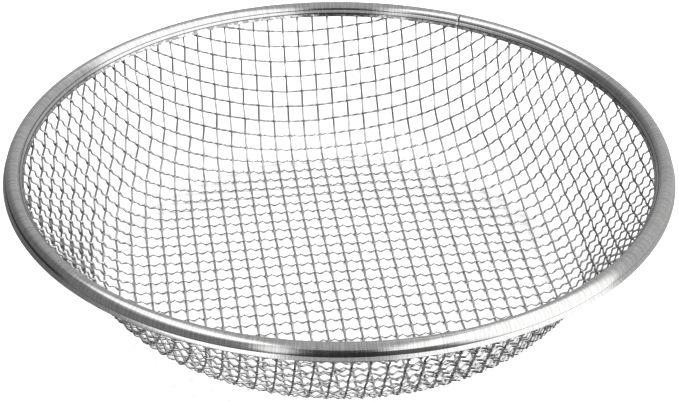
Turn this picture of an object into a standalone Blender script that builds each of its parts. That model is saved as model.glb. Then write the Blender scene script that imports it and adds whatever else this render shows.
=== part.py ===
"""Soil sieve: a shallow round bowl of square-mesh wire cloth held in a rolled sheet-steel rim.

Runs in Blender 4.5. The constants are millimetres, and the scene is built in metres.
+Z is up and the origin is the centre of the resting plane. The warp wires run along Y
and the weft wires along X. Woven cloth passes each wire over and under the others. Here
the warp wires lie on the inner face and the weft wires on the outer face, with a small
gap between the two layers. The wires nearest the middle are one object each. The others are joined
in pairs of neighbours by a link inside the rim.
"""
import math

import bpy
from mathutils import Vector

MM = 0.001

# Wire cloth
WIRE_DIAMETER = 1.0
APERTURE = 6.5
PITCH = WIRE_DIAMETER + APERTURE
WIRES_PER_SIDE = 22  # wires on each side of the middle, in each direction
SINGLE_WIRES = 6  # of those, the ones nearest the middle, which are objects of their own
WIRE_SIDE = WIRE_DIAMETER * math.sqrt(math.pi) / 2  # square section with the area of the round wire
LAYER_GAP = 0.35
LAYER_OFFSET = (WIRE_SIDE + LAYER_GAP) / 2

# Bowl, measured on the middle surface of the cloth above its flat floor
FLOOR_RADIUS = 87.4
CORNER_RADIUS = 30.5
WALL_SLOPE = math.radians(56.5)
WIRE_END_RADIUS = 141.2
LINK_RADIUS = 142.4

# Rim section as (radius, height) on the outside of the sheet: flange, rounded bead and skirt
FLANGE = ((139.0, 56.7), (139.69, 58.1), (140.64, 59.56))
BEAD_MIDDLE = (144.05, 58.6)
BEAD_RADIUS = 3.38
BEAD_START = math.radians(163)
BEAD_END = math.radians(-15)
BEAD_STEPS = 8
SKIRT = ((147.03, 57.42), (148.35, 56.1))
SHEET_THICKNESS = 0.5
RIM_SEGMENTS = 72
SEAM_ANGLE = math.radians(58.3)  # counted from +X towards +Y
SEAM_GAP = 0.35
SEAM_SLANT = 0.5  # shift of the butt joint along the rim, from inner flange to outer skirt

# Hoop inside the rim
HOOP_RADIUS = 144.8
HOOP_HEIGHT = 59.0
HOOP_DIAMETER = 3.0
HOOP_SEGMENTS = 60
HOOP_SIDES = 8

# Steels, as (colour, roughness)
WIRE_STEEL = ((0.56, 0.57, 0.58), 0.32)
RIM_STEEL = ((0.62, 0.62, 0.63), 0.28)
HOOP_STEEL = ((0.48, 0.48, 0.49), 0.4)

# Mesh building
SQUARE = ((-1, -1), (-1, 1), (1, 1), (1, -1))  # corners of the wire section, across and up
LIFT = LAYER_OFFSET + WIRE_SIDE / 2  # raises the cloth so that the weft wires rest on z = 0
PATH_TOLERANCE = 0.25  # how far a wire's straight stretches may miss the cloth
LINK_STEP = math.radians(6.0)  # arc of the rim between two points of a link
SOLVER_STEPS = 20

WALL_FOOT_RADIUS = FLOOR_RADIUS + CORNER_RADIUS * math.sin(WALL_SLOPE)
WALL_FOOT_HEIGHT = CORNER_RADIUS * (1 - math.cos(WALL_SLOPE))


def clear_scene():
    for thing in list(bpy.data.objects):
        bpy.data.objects.remove(thing, do_unlink=True)


def steel(name, colour, roughness):
    material = bpy.data.materials.new(name)
    material.use_nodes = True
    shader = material.node_tree.nodes["Principled BSDF"]
    shader.inputs["Base Color"].default_value = (*colour, 1.0)
    shader.inputs["Metallic"].default_value = 1.0
    shader.inputs["Roughness"].default_value = roughness
    return material


def add_mesh(name, points, faces, material, smooth):
    mesh = bpy.data.meshes.new(name)
    mesh.from_pydata([point * MM for point in points], [], faces)
    mesh.validate()
    mesh.materials.append(material)
    thing = bpy.data.objects.new(name, mesh)
    bpy.context.scene.collection.objects.link(thing)
    for polygon in mesh.polygons:
        polygon.use_smooth = smooth
    return thing


def sweep_faces(rings, sides, closed):
    """Quads between neighbouring rings of corner points, with caps on an open sweep."""
    faces = []
    for ring in range(rings if closed else rings - 1):
        here = ring * sides
        there = (ring + 1) % rings * sides
        for side in range(sides):
            step = (side + 1) % sides
            faces.append((here + side, here + step, there + step, there + side))
    if not closed:
        faces.append(tuple(reversed(range(sides))))
        faces.append(tuple(range((rings - 1) * sides, rings * sides)))
    return faces


# Bowl surface


def cloth_slope(radius):
    reach = (radius - FLOOR_RADIUS) / CORNER_RADIUS
    return math.asin(min(max(reach, 0.0), math.sin(WALL_SLOPE)))


def cloth_height(radius):
    if radius <= FLOOR_RADIUS:
        return 0.0
    if radius <= WALL_FOOT_RADIUS:
        return CORNER_RADIUS * (1 - math.cos(cloth_slope(radius)))
    return WALL_FOOT_HEIGHT + (radius - WALL_FOOT_RADIUS) * math.tan(WALL_SLOPE)


def on_cloth(x, y):
    return Vector((x, y, cloth_height(math.hypot(x, y))))


def cloth_normal(point):
    """Unit normal of the cloth, pointing into the bowl."""
    radius = math.hypot(point.x, point.y)
    slope = cloth_slope(radius)
    inward = -math.sin(slope) / max(radius, 1.0)
    return Vector((inward * point.x, inward * point.y, math.cos(slope)))


# Crossings of the wires, in the quarter with x > 0 and y > 0


def beside_middle(crossing, direction):
    """The next crossing outwards on one of the wires beside the middle."""
    point = crossing + direction * PITCH
    for _ in range(SOLVER_STEPS):
        step = on_cloth(point.x, point.y) - crossing
        point = crossing + step * (PITCH / step.length)
    return on_cloth(point.x, point.y)


def one_pitch_from_both(first, second, guess):
    """The point of the cloth that lies one pitch from two crossings, by Newton's method."""
    x, y = guess.x, guess.y
    for _ in range(SOLVER_STEPS):
        here = on_cloth(x, y)
        radius = math.hypot(x, y)
        rise = math.tan(cloth_slope(radius)) / radius
        a = here - first
        b = here - second
        ax, ay = a.x + a.z * rise * x, a.y + a.z * rise * y
        bx, by = b.x + b.z * rise * x, b.y + b.z * rise * y
        miss_a = (PITCH**2 - a.length_squared) / 2
        miss_b = (PITCH**2 - b.length_squared) / 2
        scale = ax * by - ay * bx
        x += (miss_a * by - miss_b * ay) / scale
        y += (ax * miss_b - bx * miss_a) / scale
    return on_cloth(x, y)


def inside(point):
    return math.hypot(point.x, point.y) < WIRE_END_RADIUS


def quarter_crossings():
    """Crossings by (warp, weft) number outwards from the middle, to just past the wire ends."""
    crossings = {(0, 0): on_cloth(PITCH / 2, PITCH / 2)}
    for number in range(1, WIRES_PER_SIDE + 1):
        crossings[number, 0] = beside_middle(crossings[number - 1, 0], Vector((1, 0, 0)))
        crossings[0, number] = beside_middle(crossings[0, number - 1], Vector((0, 1, 0)))
    for warp in range(1, WIRES_PER_SIDE + 1):
        for weft in range(1, WIRES_PER_SIDE + 1):
            before = crossings.get((warp - 1, weft))
            below = crossings.get((warp, weft - 1))
            if before is None or below is None or not (inside(before) or inside(below)):
                continue
            guess = before + below - crossings[warp - 1, weft - 1]
            crossings[warp, weft] = one_pitch_from_both(before, below, guess)
    return crossings


# Wire paths


def half_wire(crossings, number):
    """Points of one warp wire in the quarter, from the middle out to its end in the rim."""
    points = []
    for weft in range(WIRES_PER_SIDE + 1):
        crossing = crossings[number, weft]
        if not inside(crossing):
            break
        points.append(crossing)
    start = math.hypot(points[-1].x, points[-1].y)
    stop = math.hypot(crossing.x, crossing.y)
    end = points[-1].lerp(crossing, (WIRE_END_RADIUS - start) / (stop - start))
    if (end - points[-1]).length < WIRE_DIAMETER and len(points) > 1:
        points.pop()
    points.append(on_cloth(end.x, end.y))
    return points


def rim_link(first, second):
    """Points of the link between the ends of two wires, run along the edge of the cloth."""
    start = math.atan2(first.y, first.x)
    sweep = (math.atan2(second.y, second.x) - start + math.pi) % math.tau - math.pi
    steps = max(1, math.ceil(abs(sweep) / LINK_STEP))
    angles = [start + sweep * step / steps for step in range(steps + 1)]
    return [on_cloth(LINK_RADIUS * math.cos(a), LINK_RADIUS * math.sin(a)) for a in angles]


def thin_out(points):
    """The same path with the points left out that lie within the tolerance of a chord."""
    if len(points) < 3:
        return points
    chord = points[-1] - points[0]
    direction = chord.normalized()
    misses = [(p - points[0]).cross(direction).length for p in points[1:-1]]
    worst = max(range(len(misses)), key=misses.__getitem__)
    if misses[worst] < PATH_TOLERANCE:
        return [points[0], points[-1]]
    middle = worst + 1
    return thin_out(points[: middle + 1])[:-1] + thin_out(points[middle:])


def layer_path(points, layer, turned):
    """Moves a path onto its layer of the cloth, and turns it for the weft."""
    moved = [point + cloth_normal(point) * LAYER_OFFSET * layer for point in points]
    if turned:
        moved = [Vector((point.y, point.x, point.z)) for point in moved]
    return [point + Vector((0, 0, LIFT)) for point in moved]


def whole_wire(half, sign):
    """Both halves of a wire, on the side of the middle that the sign gives."""
    right = [Vector((sign * p.x, p.y, p.z)) for p in half]
    left = [Vector((p.x, -p.y, p.z)) for p in reversed(right)]
    return left + right


def pair_strokes(halves, number, sign):
    """Two neighbouring wires, out along one, over the link and back along the other."""
    out = whole_wire(halves[number], sign)
    back = whole_wire(halves[number + 1], sign)
    return [out, rim_link(out[-1], back[-1]), list(reversed(back))]


def directions(path, index):
    """Unit steps into and out of a point of a path, of length zero past its ends, and their mean."""
    before = (path[index] - path[max(index - 1, 0)]).normalized()
    after = (path[min(index + 1, len(path) - 1)] - path[index]).normalized()
    return before, after, (before + after).normalized()


def square_tube(path):
    """Corner points of a square section swept along a path, with mitred bends."""
    corners = []
    for index, point in enumerate(path):
        before, after, along = directions(path, index)
        up = cloth_normal(point)
        side = along.cross(up).normalized()
        up = side.cross(along)
        stretch = 1.0
        bend = Vector((0, 0, 0))
        if before.length > 0 and after.length > 0:
            bend = (after - before).normalized()
            stretch = 2 / (before + after).length
        for across, rise in SQUARE:
            offset = (side * across + up * rise) * WIRE_SIDE / 2
            offset += bend * offset.dot(bend) * (stretch - 1)
            corners.append(point + offset)
    return corners


def add_wire_object(name, strokes, layer, turned):
    path = [point for stroke in strokes for point in thin_out(layer_path(stroke, layer, turned))]
    corners = square_tube(path)
    faces = sweep_faces(len(corners) // len(SQUARE), len(SQUARE), closed=False)
    add_mesh(name, corners, faces, steel(name, *WIRE_STEEL), smooth=False)


def add_wires(family, layer, turned):
    """Every wire of one direction, numbered across the bowl."""
    crossings = quarter_crossings()
    halves = [half_wire(crossings, number) for number in range(WIRES_PER_SIDE)]
    for sign in (-1, 1):
        for number in range(SINGLE_WIRES):
            place = WIRES_PER_SIDE + (number + 1 if sign > 0 else -number)
            add_wire_object(f"{family}_wire_{place:02d}", [whole_wire(halves[number], sign)], layer, turned)
        for number in range(SINGLE_WIRES, WIRES_PER_SIDE, 2):
            first = WIRES_PER_SIDE + (number + 1 if sign > 0 else -number - 1)
            name = f"{family}_wires_{first:02d}_{first + 1:02d}"
            add_wire_object(name, pair_strokes(halves, number, sign), layer, turned)


# Rim


def bead_point(turn):
    """A point of the bead at an angle about its middle, counted from outwards to upwards."""
    return BEAD_MIDDLE[0] + BEAD_RADIUS * math.cos(turn), BEAD_MIDDLE[1] + BEAD_RADIUS * math.sin(turn)


def rim_outline():
    """The closed section of the rolled sheet, its outside followed by its inside."""
    turns = [BEAD_START + (BEAD_END - BEAD_START) * step / BEAD_STEPS for step in range(BEAD_STEPS + 1)]
    places = (*FLANGE, *(bead_point(turn) for turn in turns), *SKIRT)
    outside = [Vector((radius, height + LIFT)) for radius, height in places]
    within = []
    for index, point in enumerate(outside):
        before, after, along = directions(outside, index)
        squareness = along.dot(after if after.length else before)
        within.append(point + Vector((along.y, -along.x)) * SHEET_THICKNESS / squareness)
    return outside + list(reversed(within))


def add_rim_band():
    section = rim_outline()
    half = SEAM_GAP / 2 / FLANGE[0][0]
    low = min(point.x for point in section)
    width = max(point.x for point in section) - low
    corners = []
    for step in range(RIM_SEGMENTS + 1):
        share = step / RIM_SEGMENTS
        for point in section:
            slant = SEAM_SLANT * ((point.x - low) / width - 0.5) / point.x
            angle = SEAM_ANGLE + slant + half + share * (math.tau - 2 * half)
            corners.append(Vector((point.x * math.cos(angle), point.x * math.sin(angle), point.y)))
    faces = sweep_faces(RIM_SEGMENTS + 1, len(section), closed=False)
    add_mesh("rim_band", corners, faces, steel("rim_band", *RIM_STEEL), smooth=True)


def add_rim_hoop():
    corners = []
    for step in range(HOOP_SEGMENTS):
        angle = math.tau * step / HOOP_SEGMENTS
        for side in range(HOOP_SIDES):
            turn = -math.tau * side / HOOP_SIDES
            radius = HOOP_RADIUS + HOOP_DIAMETER / 2 * math.cos(turn)
            height = HOOP_HEIGHT + LIFT + HOOP_DIAMETER / 2 * math.sin(turn)
            corners.append(Vector((radius * math.cos(angle), radius * math.sin(angle), height)))
    faces = sweep_faces(HOOP_SEGMENTS, HOOP_SIDES, closed=True)
    add_mesh("rim_hoop", corners, faces, steel("rim_hoop", *HOOP_STEEL), smooth=True)


clear_scene()
add_rim_band()
add_rim_hoop()
add_wires("warp", 1, turned=False)
add_wires("weft", -1, turned=True)
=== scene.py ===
"""Looks of the soil sieve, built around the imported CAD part. Constants are in millimetres unless noted."""
import math

import bpy
import numpy as np
from mathutils import Euler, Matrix, Vector, kdtree, noise


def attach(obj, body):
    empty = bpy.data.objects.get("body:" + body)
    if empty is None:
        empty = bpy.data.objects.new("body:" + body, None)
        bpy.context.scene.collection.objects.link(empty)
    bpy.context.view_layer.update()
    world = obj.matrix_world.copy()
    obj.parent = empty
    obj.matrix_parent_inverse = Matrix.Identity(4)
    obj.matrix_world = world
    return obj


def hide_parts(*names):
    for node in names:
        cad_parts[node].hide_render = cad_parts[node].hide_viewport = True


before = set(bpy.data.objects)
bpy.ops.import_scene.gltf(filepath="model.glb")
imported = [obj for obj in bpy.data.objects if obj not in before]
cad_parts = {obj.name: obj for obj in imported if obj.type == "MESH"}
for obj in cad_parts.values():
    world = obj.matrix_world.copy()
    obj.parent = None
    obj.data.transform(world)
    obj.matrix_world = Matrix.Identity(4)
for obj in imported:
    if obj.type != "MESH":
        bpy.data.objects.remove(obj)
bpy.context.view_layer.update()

MM = 0.001

# Cloth, as in the CAD source
WIRE_DIAMETER = 1.0
PITCH = 7.5
WIRES_PER_SIDE = 22
FLOOR_RADIUS = 87.4
CORNER_RADIUS = 30.5
WALL_SLOPE = math.radians(56.5)
WIRE_END_RADIUS = 142.2
LIFT = 1.06
WALL_FOOT_RADIUS = FLOOR_RADIUS + CORNER_RADIUS * math.sin(WALL_SLOPE)
WALL_FOOT_HEIGHT = CORNER_RADIUS * (1 - math.cos(WALL_SLOPE))
SOLVER_STEPS = 20

# Wire mesh
WARP_STEPS = 8  # samples of a path per pitch
WEFT_STEPS = 15
WIRE_SIDES = 10
CRIMP = 0.5 * WIRE_DIAMETER
WARP_BENDS = 1  # half waves per pitch
WEFT_BENDS = 3  # the weft is crimped twice more between crossings
SINGLE_WIRES = 6  # wires on each side of the middle whose CAD solid is theirs alone
CRIMP_SHARPNESS = 0.09  # share of the third harmonic, which straightens the runs between crossings
WANDER = 0.16  # how far the crossings stray from a perfect net
WANDER_SPAN = 38.0
WANDER_X = Vector((0, 0, 3.7))  # places in the noise where the straying along x and y is read
WANDER_Y = Vector((0, 0, 9.1))
FINE_SHARE = 0.35  # straying that differs from one crossing to the next, as a share of the broad one
FINE_STEP = (0.71, 0.67, 0.5)  # steps in the noise per half pitch, and the height where it is read
FINE_Y = Vector((5.3, 2.9, 0))
END_SLACK = 0.4  # how far past the end radius a wire's last sample may lie
NEAR_RIM = 6  # wires this close to the flange's edge push bumps into it

# Rim section as (radius, height): a flange against the wires, a flat band, the bead and a flared skirt
FLANGE = ((139.0, 56.7), (139.3, 57.22), (139.58, 57.72), (139.68, 57.95), (139.7, 58.2))
FLANGE_BAND = ((139.88, 58.48), (140.2, 58.98), (140.48, 59.4), (140.64, 59.56))
BEAD_MIDDLE = (144.05, 58.6)
BEAD_RADIUS = 3.38
BEAD_START = math.radians(163)
BEAD_END = math.radians(-15)
BEAD_STEPS = 26
SKIRT = (
    (147.18, 57.6), (147.04, 57.5), (147.02, 57.36), (147.2, 57.18),
    (147.6, 56.84), (148.0, 56.46), (148.35, 56.1),
)
SECTION_STEPS = 2  # samples per stretch of the section
FLANGE_TOP = 58.1
SHEET_THICKNESS = 0.5
RIM_SEGMENTS = 1080
SEAM_ANGLE = math.radians(58.3)
SEAM_GAP = 0.35
SEAM_SLANT = 0.5  # shift of the butt joint along the rim, from inner flange to outer skirt
BUMP_HEIGHT = 0.32  # how far a wire pushes the flange into the bowl
BUMP_FADE = 1.6  # distance below the flange's top over which the bumps grow
BUMP_REACH = 0.9  # distance from a wire's middle where its bump starts to fall off
BUMP_WIDTH = 0.8

# Wire steel. A wire's coordinates are pitches along it and turns round it.
WIRE_TONES = {"warp": (0.72, 0.26, 0.66), "weft": (0.92, 0.6, 0.6)}  # floor, then the wall's two flanks, the first with painted shade and the second with painted light
WALL_HEIGHTS = (0.004, 0.018)  # metres, from the floor's tone to the wall's; the floor's lighter tone is painted light
FLANK_EDGE = 0.4  # sine of the place on a crimp, from the flank with painted shade to the flank with painted light
DRAW_LINES = (0.9, 34.0, 1.0)  # noise scale
FILM_GRAIN = (260.0, 260.0, 260.0)  # noise scale per metre
FILM_EDGES = (0.35, 0.68)  # noise values where a film starts and is full, on wires and hoop
FILMED = 0.82  # share of the tone that is left under a full film
CROSSING_SHADE_REACH = 0.07  # pitches that the painted shade at a crossing reaches
# share of the tone that the painted shade at a crossing takes away
CROSSING_SHADE_DEPTH = 0.4
WIRE_ROUGHNESS = 0.05
FILM_ROUGHNESS = 0.1
LINE_ROUGHNESS = 0.06
BUMP_DISTANCE = 0.00003  # metres, on all three steels
WIRE_BUMP = 0.5

# Rim steel. The rim's coordinates are metres round it and metres across its section.
RIM_ANISOTROPY = 0.6
STREAKS = (1400.0, 60.0, 1.0)  # noise scales per metre
FINE_STREAKS = (5200.0, 160.0, 1.0)
MOTTLE = (420.0, 520.0, 1.0)
PATCHES = (24.0, 90.0, 1.0)
STREAK_MIX = (0.4, 0.6)  # shares of the fine and the broad streaks
BRUSHED_EDGES = (0.36, 0.62)
BRUSHED_TONES = ((0.52, 0.52, 0.515, 1), (0.68, 0.68, 0.675, 1))
PRESSED_EDGES = (0.0013, 0.0018)  # metres across, from the pressed flange to the brushed band
PRESSED_COVER = 0.85
MOTTLE_EDGES = (0.4, 0.6)
MOTTLE_TONES = ((0.24, 0.24, 0.245, 1), (0.68, 0.68, 0.68, 1))
MOTTLE_DEPTH = 4.0  # bump of the mottle, in depths of the brushing
CREASES = (0.00178, 0.0035, 0.0141)  # metres across, where shade is painted into the creases
CREASE_SHADE_EDGES = (0.00012, 0.00032)  # metres beside a crease, over which the painted shade fades
CREASE_SHADE_COVER = 0.85
CREASE_SHADE_TONE = (0.05, 0.05, 0.05, 1)
RIM_ROUGHNESS = 0.06
PATCH_ROUGHNESS = 0.06
BRUSH_ROUGHNESS = 0.1
SHEET_BUMP = 0.6  # also the hoop's

# Hoop steel
HOOP_LINES = (9.0, 4200.0, 4200.0)  # noise scale per radian round the hoop and per metre
HOOP_FILM = (180.0, 180.0, 180.0)
HOOP_TONES = ((0.5, 0.5, 0.5, 1), (0.36, 0.355, 0.35, 1))
HOOP_ROUGHNESS = 0.22
HOOP_FILM_ROUGHNESS = 0.25

# Studio, seen in reflections as brightness by direction: x to the right, y to the back, z up
STUDIO_TURN = math.radians(7.3)  # turns the soft boxes to stand left and right of the camera's view
SOFT_EDGE = 0.02
GAP = 0.24  # half width of the dim gap overhead
GAP_CLOSING = (0.4, 0.86)  # y
BACK_SLANT = 0.72  # the boxes end where y plus this share of the distance sideways reaches BACK_EDGE
BACK_EDGE = (0.76, 0.84)
RIGHT_BOX = (0.15, 1.65)  # brightness under it and on it
RIGHT_BOX_FOOT = (0.0, 0.2)  # z
RIGHT_BOX_CORNER = (0.5, 0.68)  # x past which the box goes on below its foot
LEFT_BOX = (0.0, 1.5)  # the same
LEFT_BOX_FOOT = (0.68, 0.8)  # z
LEFT_BOX_FRONT = (-0.8, -0.4)  # y
LEFT_BOX_FADED = 0.4  # share of the brightness left at its front
LEFT_GLOW = (0.0, 0.6)  # brightness added at the front left, from under the left box upwards
LEFT_GLOW_FOOT = (0.4, 0.7)  # z
LEFT_GLOW_BACK = (-0.5, 0.1)  # y
LEFT_WALL = 0.24  # brightness of everything at the left
STRIP = 1.5  # a narrow light at the front left
STRIP_INNER_EDGE = (0.2, 0.24)  # x over y, which grows to the left because y is negative in front
STRIP_OUTER_EDGE = (0.42, 0.5)
STRIP_FOOT = (-0.9, -0.5)  # z
STRIP_FADED = 0.3  # share of the brightness left at its foot
FRONT_Y = -0.01  # y nearest to zero that x is divided by
BACK_WALL = (0.18, 0.5)  # brightness at its left end and at its middle
BACK_WALL_LEFT = (-0.9, -0.1)  # x
BACK_WALL_ADDED = (0.0, 0.08)  # brightness added to the right of the middle
BACK_WALL_RIGHT = (0.0, 0.4)  # x
LOW_LEFT = (-0.3, 0.0)  # brightness added to the back wall, low at its left
LOW_LEFT_TOP = (-0.5, -0.1)  # z
LOW_LEFT_SIDE = (-0.2, 0.4)  # x
DARKEST_WALL = 0.04  # least brightness of the back wall
FRONT = (0.04, 0.45)  # brightness of the front, low and high
FRONT_FOOT = (0.5, 0.64)  # z
FRONT_BACK = (-0.3, 0.1)  # y where the front gives way to the back wall
BACKDROP = 0.95  # brightness behind the object, where the camera sees past the floor

# Stage, in metres and watts
FLOOR_REACH = 6.0
FLOOR_TONE = (0.9, 0.9, 0.9, 1)
FLOOR_ROUGHNESS = 0.3
LIGHTS = (  # name, place, size and power
    ("key", (0.25, 1.35, 1.0), (0.3, 0.2), 26),
    ("fill", (0, 0, 1.5), (1.4, 1.4), 20),
)

# Camera, in metres, degrees and millimetres
CAMERA_PLACE = (-0.10086, -0.78757, 0.54055)
CAMERA_TURN = (57.5921, -0.236, -7.161)
CAMERA_LENS = 110.76
SENSOR_WIDTH = 36


# Cloth surface


def cloth_slope(radius):
    reach = (radius - FLOOR_RADIUS) / CORNER_RADIUS
    return math.asin(min(max(reach, 0.0), math.sin(WALL_SLOPE)))


def cloth_height(radius):
    if radius <= FLOOR_RADIUS:
        return 0.0
    if radius <= WALL_FOOT_RADIUS:
        return CORNER_RADIUS * (1 - math.cos(cloth_slope(radius)))
    return WALL_FOOT_HEIGHT + (radius - WALL_FOOT_RADIUS) * math.tan(WALL_SLOPE)


def on_cloth(x, y):
    return Vector((x, y, cloth_height(math.hypot(x, y))))


def cloth_normal(x, y):
    radius = math.hypot(x, y)
    slope = cloth_slope(radius)
    inward = -math.sin(slope) / max(radius, 1.0)  # the slope is zero near the middle
    return Vector((inward * x, inward * y, math.cos(slope)))


def beside_middle(crossing, direction):
    point = crossing + direction * PITCH
    for _ in range(SOLVER_STEPS):
        step = on_cloth(point.x, point.y) - crossing
        point = crossing + step * (PITCH / step.length)
    return on_cloth(point.x, point.y)


def one_pitch_from_both(first, second, guess):
    x, y = guess.x, guess.y
    for _ in range(SOLVER_STEPS):
        here = on_cloth(x, y)
        radius = math.hypot(x, y)
        rise = math.tan(cloth_slope(radius)) / radius
        a = here - first
        b = here - second
        ax, ay = a.x + a.z * rise * x, a.y + a.z * rise * y
        bx, by = b.x + b.z * rise * x, b.y + b.z * rise * y
        miss_a = (PITCH**2 - a.length_squared) / 2
        miss_b = (PITCH**2 - b.length_squared) / 2
        scale = ax * by - ay * bx
        x += (miss_a * by - miss_b * ay) / scale
        y += (ax * miss_b - bx * miss_a) / scale
    return on_cloth(x, y)


def inside(point):
    return math.hypot(point.x, point.y) < WIRE_END_RADIUS


def quarter_crossings():
    crossings = {(0, 0): on_cloth(PITCH / 2, PITCH / 2)}
    for number in range(1, WIRES_PER_SIDE + 2):
        crossings[number, 0] = beside_middle(crossings[number - 1, 0], Vector((1, 0, 0)))
        crossings[0, number] = beside_middle(crossings[0, number - 1], Vector((0, 1, 0)))
    for warp in range(1, WIRES_PER_SIDE + 2):
        for weft in range(1, WIRES_PER_SIDE + 2):
            before = crossings.get((warp - 1, weft))
            below = crossings.get((warp, weft - 1))
            if before is None or below is None or not (inside(before) or inside(below)):
                continue
            guess = before + below - crossings[warp - 1, weft - 1]
            crossings[warp, weft] = one_pitch_from_both(before, below, guess)
    return crossings


def all_crossings():
    """Crossings of the whole cloth, each strayed a little on its surface.

    A key holds the warp's and the weft's place from the middle in half pitches, so both are odd.
    """
    crossings = {}
    for (warp, weft), p in quarter_crossings().items():
        for sx in (-1, 1):
            for sy in (-1, 1):
                crossings[sx * (2 * warp + 1), sy * (2 * weft + 1)] = (sx * p.x, sy * p.y)
    strayed = {}
    for key, (x, y) in crossings.items():
        broad = Vector((x, y, 0)) / WANDER_SPAN
        fine = Vector((key[0] * FINE_STEP[0], key[1] * FINE_STEP[1], FINE_STEP[2]))
        dx = noise.noise(broad + WANDER_X) + FINE_SHARE * noise.noise(fine)
        dy = noise.noise(broad + WANDER_Y) + FINE_SHARE * noise.noise(fine + FINE_Y)
        strayed[key] = on_cloth(x + 2 * WANDER * dx, y + 2 * WANDER * dy)
    return strayed


def add_coordinates(piece, name, along, across):
    """A UV map for a swept piece, from its distances along the sweep and round its section."""
    values = np.stack(np.broadcast_arrays(along[:, None], across[None]), -1).reshape(-1, 2)
    corner_vertices = np.zeros(len(piece.data.loops), np.int32)
    piece.data.loops.foreach_get("vertex_index", corner_vertices)
    uv_map = piece.data.uv_layers.new(name=name)
    uv_map.data.foreach_set("uv", values[corner_vertices].ravel())


# Wires


def wire_nodes(crossings, number, warp):
    """Crossings along one wire with the first ones past the wire's ends, and the parity of each."""
    furthest = 2 * WIRES_PER_SIDE + 3
    keys = [(number, k) if warp else (k, number) for k in range(-furthest, furthest + 1, 2)]
    keys = [key for key in keys if key in crossings]
    live = [i for i, key in enumerate(keys) if inside(crossings[key])]
    keys = keys[max(live[0] - 1, 0): live[-1] + 2]
    points = np.array([crossings[key] for key in keys])
    # At an even sum of the two wires' places from the middle the warp wire is on top.
    up = np.array([1 if ((key[0] - 1) // 2 - (key[1] - 1) // 2) % 2 == 0 else -1 for key in keys])
    return points, up if warp else -up


def smooth_path(points, steps):
    """Catmull-Rom samples through the points, with each sample's place in numbers of points."""
    ends = np.vstack([2 * points[0] - points[1], points, 2 * points[-1] - points[-2]])
    places = np.linspace(0, len(points) - 1, (len(points) - 1) * steps + 1)
    index = np.minimum(places.astype(int), len(points) - 2)
    t = (places - index)[:, None]
    a, b, c, d = (ends[index + k] for k in range(4))
    curve = 0.5 * (2 * b + (c - a) * t + (2 * a - 5 * b + 4 * c - d) * t**2 + (3 * b - a - 3 * c + d) * t**3)
    return curve, places


def crimped_path(points, up, steps, bends):
    curve, places = smooth_path(points, steps)
    curve = np.array([on_cloth(x, y) for x, y, _ in curve])
    normals = np.array([cloth_normal(x, y) for x, y, _ in curve])
    phase = math.pi * places * bends
    wave = (np.cos(phase) + CRIMP_SHARPNESS * np.cos(3 * phase)) / (1 + CRIMP_SHARPNESS)
    path = curve + normals * (CRIMP * up[0] * wave)[:, None]
    keep = np.hypot(path[:, 0], path[:, 1]) < WIRE_END_RADIUS + END_SLACK
    return path[keep] + (0, 0, LIFT), normals[keep], places[keep]


def unit(vectors):
    return vectors / np.linalg.norm(vectors, axis=1, keepdims=True)


def tube(path, normals, radius, sides):
    """Vertices of a round tube along a path, ring by ring."""
    along = unit(np.gradient(path, axis=0))
    side = unit(np.cross(along, normals))
    rise = np.cross(side, along)
    turn = np.linspace(0, math.tau, sides, endpoint=False)
    ring = side[:, None] * np.cos(turn)[None, :, None] + rise[:, None] * np.sin(turn)[None, :, None]
    return (path[:, None] + radius * ring).reshape(-1, 3)


def sweep_faces(rings, sides):
    """Quads between the rings of a sweep, and a cap at each end."""
    first = np.arange(rings - 1)[:, None] * sides
    here = first + np.arange(sides)
    step = first + (np.arange(sides) + 1) % sides
    quads = np.stack([here, step, step + sides, here + sides], -1).reshape(-1, 4)
    last = (rings - 1) * sides
    return quads.tolist() + [list(reversed(range(sides))), list(range(last, last + sides))]


def add_piece(name, corners, faces, material, node):
    mesh = bpy.data.meshes.new(name)
    mesh.from_pydata((np.asarray(corners) * MM).tolist(), [], faces)
    mesh.polygons.foreach_set("use_smooth", [True] * len(faces))
    mesh.materials.append(material)
    thing = bpy.data.objects.new(name, mesh)
    bpy.context.scene.collection.objects.link(thing)
    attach(thing, "root")
    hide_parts(node)
    return thing


def cad_node(family, k):
    """Name of the CAD node that holds wire k, counted from 0 across the bowl."""
    if abs(k - WIRES_PER_SIDE + 0.5) < SINGLE_WIRES:
        return f"{family}_wire_{k + 1:02d}"
    first = k // 2 * 2 + 1
    return f"{family}_wires_{first:02d}_{first + 1:02d}"


def add_wires(crossings, materials):
    """Adds every wire as its own piece and gives back samples of all the paths near the rim."""
    near_rim = []
    families = (("warp", WARP_STEPS, WARP_BENDS), ("weft", WEFT_STEPS, WEFT_BENDS))
    for family, steps, bends in families:
        for k in range(2 * WIRES_PER_SIDE):
            number = 2 * k + 1 - 2 * WIRES_PER_SIDE
            points, up = wire_nodes(crossings, number, family == "warp")
            path, normals, places = crimped_path(points, up, steps, bends)
            corners = tube(path, normals, WIRE_DIAMETER / 2, WIRE_SIDES)
            faces = sweep_faces(len(path), WIRE_SIDES)
            node = cad_node(family, k)
            wire = add_piece(f"{family}_wire_{k + 1:02d}", corners, faces, materials[family], node)
            turns = np.arange(WIRE_SIDES) / WIRE_SIDES
            # At whole even places the wire is on top, on every wire.
            start = 2 * number + (up[0] < 0)
            add_coordinates(wire, "wire_length", places + start, turns)
            near_rim.extend(path[np.hypot(path[:, 0], path[:, 1]) > FLANGE[0][0] - NEAR_RIM])
    return np.array(near_rim)


# Rim


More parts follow.
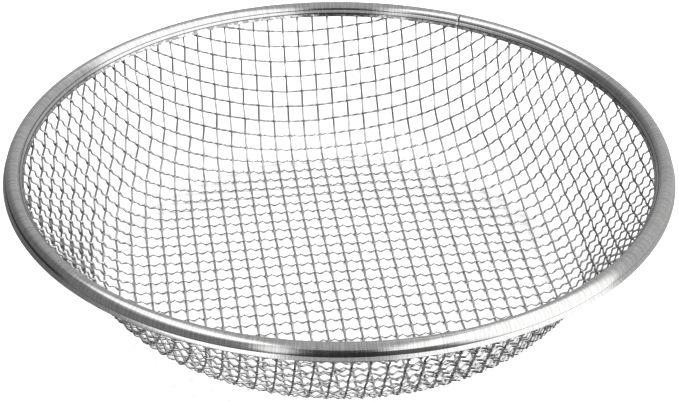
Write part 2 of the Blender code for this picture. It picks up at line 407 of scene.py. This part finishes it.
def flange_bumps(angles, outside, near_rim):
    """How far each point of the flange is pushed into the bowl by the wires behind it."""
    tree = kdtree.KDTree(len(near_rim))
    for index, point in enumerate(near_rim):
        tree.insert(point, index)
    tree.balance()
    push = np.zeros((len(angles), len(outside)))
    top = FLANGE_TOP + LIFT
    for column, (radius, height) in enumerate(outside):
        if height > top or radius > BEAD_MIDDLE[0]:
            continue
        fade = min(1.0, (top - height) / BUMP_FADE)
        for row, angle in enumerate(angles):
            place = Vector((radius * math.cos(angle), radius * math.sin(angle), height))
            beyond = max(0.0, tree.find(place)[2] - BUMP_REACH)
            push[row, column] = BUMP_HEIGHT * fade * math.exp(-(beyond**2) / BUMP_WIDTH**2)
    return push


def bead_point(turn):
    return BEAD_MIDDLE[0] + BEAD_RADIUS * math.cos(turn), BEAD_MIDDLE[1] + BEAD_RADIUS * math.sin(turn)


def rim_section():
    turns = np.linspace(BEAD_START, BEAD_END, BEAD_STEPS + 1)
    points = np.array((*FLANGE, *FLANGE_BAND, *(bead_point(turn) for turn in turns), *SKIRT))
    return smooth_path(points, SECTION_STEPS)[0]


def add_rim(material, near_rim):
    outside = rim_section() + (0, LIFT)
    along = unit(np.gradient(outside, axis=0))
    outward = np.stack([-along[:, 1], along[:, 0]], 1)
    half = SEAM_GAP / 2 / FLANGE[0][0]
    angles = SEAM_ANGLE + half + np.linspace(0, math.tau - 2 * half, RIM_SEGMENTS + 1)
    push = flange_bumps(angles, outside, near_rim)
    outer = outside[None] + push[:, :, None] * outward[None]
    inner = outer - SHEET_THICKNESS * outward[None]
    section = np.concatenate([outer, inner[:, ::-1]], 1)
    share = (section[:, :, 0] - outside[:, 0].min()) / np.ptp(outside[:, 0])
    slanted = angles[:, None] + SEAM_SLANT * (share - 0.5) / section[:, :, 0]
    cos, sin = np.cos(slanted), np.sin(slanted)
    corners = np.stack([section[:, :, 0] * cos, section[:, :, 0] * sin, section[:, :, 1]], -1).reshape(-1, 3)
    faces = sweep_faces(len(angles), section.shape[1])
    rim = add_piece("rim", corners, faces, material, "rim_band")
    across = np.concatenate([[0], np.cumsum(np.linalg.norm(np.diff(outside, axis=0), axis=1))]) * MM
    around = (angles - angles[0]) * BEAD_MIDDLE[0] * MM
    add_coordinates(rim, "rim_length", around, np.concatenate([across, across[::-1]]))


# Materials


class Nodes:
    """A short way to add nodes to a tree and link them."""

    def __init__(self, tree):
        self.tree = tree

    def plug(self, socket, value):
        if isinstance(value, bpy.types.NodeSocket):
            self.tree.links.new(value, socket)
        else:
            socket.default_value = value

    def add(self, kind, settings=None, **inputs):
        node = self.tree.nodes.new(kind)
        for name, value in (settings or {}).items():
            setattr(node, name, value)
        for name, value in inputs.items():
            self.plug(node.inputs[name.replace("_", " ")], value)
        return node

    def math(self, operation, *values):
        node = self.add("ShaderNodeMath", {"operation": operation})
        for socket, value in zip(node.inputs, values):
            self.plug(socket, value)
        return node.outputs[0]

    def ramp(self, value, low, high, to_low=0.0, to_high=1.0):
        """Smooth step of a value from one range into another."""
        node = self.add("ShaderNodeMapRange", {"interpolation_type": "SMOOTHSTEP"})
        for socket, number in zip(node.inputs, (value, low, high, to_low, to_high)):
            self.plug(socket, number)
        return node.outputs[0]

    def scaled(self, vector, scale):
        node = self.add("ShaderNodeVectorMath", {"operation": "MULTIPLY"})
        self.plug(node.inputs[0], vector)
        self.plug(node.inputs[1], scale)
        return node.outputs[0]

    def noise(self, vector, detail=2.0, distortion=0.0):
        node = self.add("ShaderNodeTexNoise", Vector=vector, Scale=1.0, Detail=detail, Distortion=distortion)
        return node.outputs["Fac"]

    def choose(self, share, first, second):
        """Value between two numbers."""
        node = self.add("ShaderNodeMix", {"data_type": "FLOAT"})
        for socket, value in zip((node.inputs[0], node.inputs[2], node.inputs[3]), (share, first, second)):
            self.plug(socket, value)
        return node.outputs[0]

    def mix(self, share, first, second):
        node = self.add("ShaderNodeMix", {"data_type": "RGBA"})
        for socket, value in zip((node.inputs[0], node.inputs[6], node.inputs[7]), (share, first, second)):
            self.plug(socket, value)
        return node.outputs[2]


def steel(name, anisotropy):
    """A new metal material with its nodes and its shader."""
    material = bpy.data.materials.new(name)
    material.use_nodes = True
    shader = material.node_tree.nodes["Principled BSDF"]
    shader.inputs["Metallic"].default_value = 1.0
    shader.inputs["Anisotropic"].default_value = anisotropy
    return material, Nodes(material.node_tree), shader


def wire_material(name, floor_tone, shaded_flank_tone, lit_flank_tone):
    """Drawn wire: draw lines, a film, painted shade at crossings, and on the wall painted light on one flank
    per crimp and painted shade on the other.
    """
    material, nodes, shader = steel(name, 0.0)
    place = nodes.add("ShaderNodeUVMap", {"uv_map": "wire_length"}).outputs[0]
    parts = nodes.add("ShaderNodeSeparateXYZ", Vector=place)
    # Painted shade: the tone darkens near every crossing.
    crossing = nodes.math("PINGPONG", parts.outputs[0], 0.5)
    crossing_shade = nodes.ramp(crossing, 0.0, CROSSING_SHADE_REACH, 1.0, 0.0)
    lines = nodes.noise(nodes.scaled(place, DRAW_LINES), detail=3.0)
    where = nodes.add("ShaderNodeTexCoord").outputs["Object"]
    film = nodes.noise(nodes.scaled(where, FILM_GRAIN), detail=4.0)
    # Painted light and shade: on the wall each crimp has a lighter flank and a darker flank.
    flank = nodes.math("SINE", nodes.math("MULTIPLY", parts.outputs[0], math.pi))
    on_wall = nodes.choose(nodes.ramp(flank, -FLANK_EDGE, FLANK_EDGE), shaded_flank_tone, lit_flank_tone)
    height = nodes.add("ShaderNodeSeparateXYZ", Vector=where).outputs[2]
    # Painted light: wires on the floor get a lighter tone than on the wall.
    tone = nodes.choose(nodes.ramp(height, *WALL_HEIGHTS), floor_tone, on_wall)
    tone = nodes.math("MULTIPLY", tone, nodes.ramp(film, *FILM_EDGES, 1.0, FILMED))
    tone = nodes.math("MULTIPLY", tone, nodes.math("MULTIPLY_ADD", crossing_shade, -CROSSING_SHADE_DEPTH, 1.0))
    nodes.plug(shader.inputs["Base Color"], tone)
    dullness = nodes.math("MULTIPLY_ADD", film, FILM_ROUGHNESS, WIRE_ROUGHNESS)
    nodes.plug(shader.inputs["Roughness"], nodes.math("MULTIPLY_ADD", lines, LINE_ROUGHNESS, dullness))
    bump = nodes.add("ShaderNodeBump", Height=lines, Distance=BUMP_DISTANCE, Strength=WIRE_BUMP)
    nodes.plug(shader.inputs["Normal"], bump.outputs[0])
    return material


def rim_material():
    """Sheet steel brushed across the rim, mottled where the wires press it, with painted shade in the
    creases.
    """
    material, nodes, shader = steel("rim_steel", RIM_ANISOTROPY)
    place = nodes.add("ShaderNodeUVMap", {"uv_map": "rim_length"}).outputs[0]
    across = nodes.add("ShaderNodeSeparateXYZ", Vector=place).outputs[1]
    streaks = nodes.noise(nodes.scaled(place, STREAKS), detail=4.0, distortion=0.3)
    fine = nodes.noise(nodes.scaled(place, FINE_STREAKS), detail=3.0)
    brushing = nodes.math("MULTIPLY_ADD", fine, STREAK_MIX[0], nodes.math("MULTIPLY", streaks, STREAK_MIX[1]))
    mottle = nodes.noise(nodes.scaled(place, MOTTLE), detail=4.0, distortion=0.6)
    pressed = nodes.ramp(across, *PRESSED_EDGES, 1.0, 0.0)
    patchy = nodes.noise(nodes.scaled(place, PATCHES), detail=2.0)
    tone = nodes.mix(nodes.ramp(brushing, *BRUSHED_EDGES), *BRUSHED_TONES)
    dull = nodes.mix(nodes.ramp(mottle, *MOTTLE_EDGES), *MOTTLE_TONES)
    clean = nodes.mix(nodes.math("MULTIPLY", pressed, PRESSED_COVER), tone, dull)
    # Painted shade: the base colour darkens along each crease.
    crease_shade = 0.0
    for crease in CREASES:
        beside = nodes.math("ABSOLUTE", nodes.math("SUBTRACT", across, crease))
        crease_shade = nodes.math("MAXIMUM", crease_shade, nodes.ramp(beside, *CREASE_SHADE_EDGES, CREASE_SHADE_COVER, 0.0))
    nodes.plug(shader.inputs["Base Color"], nodes.mix(crease_shade, clean, CREASE_SHADE_TONE))
    patches = nodes.math("MULTIPLY_ADD", patchy, PATCH_ROUGHNESS, RIM_ROUGHNESS)
    nodes.plug(shader.inputs["Roughness"], nodes.math("MULTIPLY_ADD", brushing, BRUSH_ROUGHNESS, patches))
    height = nodes.math("MULTIPLY_ADD", nodes.math("MULTIPLY", mottle, pressed), MOTTLE_DEPTH, brushing)
    bump = nodes.add("ShaderNodeBump", Height=height, Distance=BUMP_DISTANCE, Strength=SHEET_BUMP)
    nodes.plug(shader.inputs["Normal"], bump.outputs[0])
    tangent = nodes.add("ShaderNodeTangent", {"direction_type": "UV_MAP", "uv_map": "rim_length"})
    nodes.plug(shader.inputs["Tangent"], tangent.outputs[0])
    return material


def hoop_material():
    """Plain drawn rod, duller than the wires, with lines that run round the hoop."""
    material, nodes, shader = steel("hoop_steel", 0.0)
    where = nodes.add("ShaderNodeTexCoord").outputs["Object"]
    parts = nodes.add("ShaderNodeSeparateXYZ", Vector=where)
    around = nodes.math("ARCTAN2", parts.outputs[1], parts.outputs[0])
    radius = nodes.add("ShaderNodeVectorMath", {"operation": "LENGTH"})
    nodes.plug(radius.inputs[0], nodes.scaled(where, (1.0, 1.0, 0.0)))
    place = nodes.add("ShaderNodeCombineXYZ", X=around, Y=radius.outputs["Value"], Z=parts.outputs[2])
    lines = nodes.noise(nodes.scaled(place.outputs[0], HOOP_LINES), detail=3.0)
    film = nodes.noise(nodes.scaled(where, HOOP_FILM), detail=4.0)
    nodes.plug(shader.inputs["Base Color"], nodes.mix(nodes.ramp(film, *FILM_EDGES), *HOOP_TONES))
    rough = nodes.math("MULTIPLY_ADD", film, HOOP_FILM_ROUGHNESS, HOOP_ROUGHNESS)
    nodes.plug(shader.inputs["Roughness"], rough)
    bump = nodes.add("ShaderNodeBump", Height=lines, Distance=BUMP_DISTANCE, Strength=SHEET_BUMP)
    nodes.plug(shader.inputs["Normal"], bump.outputs[0])
    return material


# Stage


def add_floor():
    mesh = bpy.data.meshes.new("floor")
    corners = [(sx * FLOOR_REACH, sy * FLOOR_REACH, 0) for sx, sy in ((-1, -1), (1, -1), (1, 1), (-1, 1))]
    mesh.from_pydata(corners, [], [(0, 1, 2, 3)])
    floor = bpy.data.objects.new("floor", mesh)
    material = bpy.data.materials.new("floor")
    material.use_nodes = True
    shader = material.node_tree.nodes["Principled BSDF"]
    shader.inputs["Base Color"].default_value = FLOOR_TONE
    shader.inputs["Roughness"].default_value = FLOOR_ROUGHNESS
    mesh.materials.append(material)
    bpy.context.scene.collection.objects.link(floor)
    floor.visible_glossy = False


def add_area(name, place, size, power):
    """An area light aimed at the middle of the object's foot, which reflections don't show."""
    light = bpy.data.lights.new(name, "AREA")
    light.shape = "RECTANGLE"
    light.size, light.size_y = size
    light.energy = power
    thing = bpy.data.objects.new(name, light)
    thing.visible_glossy = False
    thing.location = place
    thing.rotation_euler = (Vector((0, 0, 0)) - Vector(place)).to_track_quat("-Z", "Y").to_euler()
    bpy.context.scene.collection.objects.link(thing)


def add_camera():
    camera = bpy.data.cameras.new("camera")
    camera.lens = CAMERA_LENS
    camera.sensor_width = SENSOR_WIDTH
    thing = bpy.data.objects.new("camera", camera)
    thing.location = CAMERA_PLACE
    thing.rotation_euler = Euler([math.radians(a) for a in CAMERA_TURN], "XYZ")
    bpy.context.scene.collection.objects.link(thing)
    bpy.context.scene.camera = thing


def set_world():
    """A studio seen in reflections: a soft box on each side of a dim gap overhead, and a grey wall."""
    world = bpy.data.worlds.new("studio")
    world.use_nodes = True
    nodes = Nodes(world.node_tree)
    direction = nodes.add("ShaderNodeTexCoord").outputs["Generated"]
    settings = {"rotation_type": "Z_AXIS"}
    turned = nodes.add("ShaderNodeVectorRotate", settings, Vector=direction, Angle=STUDIO_TURN)
    x, y, z = nodes.add("ShaderNodeSeparateXYZ", Vector=turned.outputs[0]).outputs
    side = nodes.math("ABSOLUTE", x)
    gap = nodes.ramp(y, *GAP_CLOSING, GAP, 0.0)
    past_gap = nodes.ramp(nodes.math("SUBTRACT", side, gap), -SOFT_EDGE, SOFT_EDGE)
    before_wall = nodes.ramp(nodes.math("MULTIPLY_ADD", side, BACK_SLANT, y), *BACK_EDGE, 1.0, 0.0)
    boxes = nodes.math("MULTIPLY", past_gap, before_wall)

    right_face = nodes.ramp(z, *RIGHT_BOX_FOOT, *RIGHT_BOX)
    right = nodes.math("MAXIMUM", right_face, nodes.ramp(x, *RIGHT_BOX_CORNER, *RIGHT_BOX))
    left_front = nodes.ramp(y, *LEFT_BOX_FRONT, LEFT_BOX_FADED, 1.0)
    left_top = nodes.math("MULTIPLY", nodes.ramp(z, *LEFT_BOX_FOOT, *LEFT_BOX), left_front)
    glow_back = nodes.ramp(y, *LEFT_GLOW_BACK, 1.0, 0.0)
    left_middle = nodes.math("MULTIPLY", nodes.ramp(z, *LEFT_GLOW_FOOT, *LEFT_GLOW), glow_back)
    left = nodes.math("ADD", nodes.math("ADD", left_top, left_middle), LEFT_WALL)

    slant = nodes.math("DIVIDE", x, nodes.math("MINIMUM", y, FRONT_Y))
    strip_outside = nodes.ramp(slant, *STRIP_OUTER_EDGE, 1.0, 0.0)
    strip = nodes.math("MULTIPLY", nodes.ramp(slant, *STRIP_INNER_EDGE), strip_outside)
    strip = nodes.math("MULTIPLY", strip, nodes.ramp(z, *STRIP_FOOT, STRIP_FADED, 1.0))

    added = nodes.ramp(x, *BACK_WALL_RIGHT, *BACK_WALL_ADDED)
    walls = nodes.math("ADD", nodes.ramp(x, *BACK_WALL_LEFT, *BACK_WALL), added)
    low_left_side = nodes.ramp(x, *LOW_LEFT_SIDE, 1.0, 0.0)
    low_left = nodes.math("MULTIPLY", nodes.ramp(z, *LOW_LEFT_TOP, *LOW_LEFT), low_left_side)
    walls = nodes.math("MAXIMUM", nodes.math("ADD", walls, low_left), DARKEST_WALL)
    front = nodes.ramp(z, *FRONT_FOOT, *FRONT)
    middle = nodes.choose(nodes.ramp(y, *FRONT_BACK, 1.0, 0.0), walls, front)

    sides = nodes.choose(nodes.ramp(x, -SOFT_EDGE, SOFT_EDGE), left, right)
    sides = nodes.choose(strip, sides, STRIP)
    light = nodes.choose(boxes, middle, sides)
    seen = nodes.add("ShaderNodeLightPath").outputs["Is Camera Ray"]
    background = world.node_tree.nodes["Background"]
    nodes.plug(background.inputs["Color"], (1, 1, 1, 1))
    nodes.plug(background.inputs["Strength"], nodes.choose(seen, light, BACKDROP))
    bpy.context.scene.world = world


wire_steels = {family: wire_material(f"{family}_steel", *tones) for family, tones in WIRE_TONES.items()}
near_rim = add_wires(all_crossings(), wire_steels)
add_rim(rim_material(), near_rim)
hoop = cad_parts["rim_hoop"]
hoop.data.materials.clear()
hoop.data.materials.append(hoop_material())
add_floor()
for light in LIGHTS:
    add_area(*light)
set_world()
add_camera()
bpy.context.scene.view_settings.view_transform = "Standard"
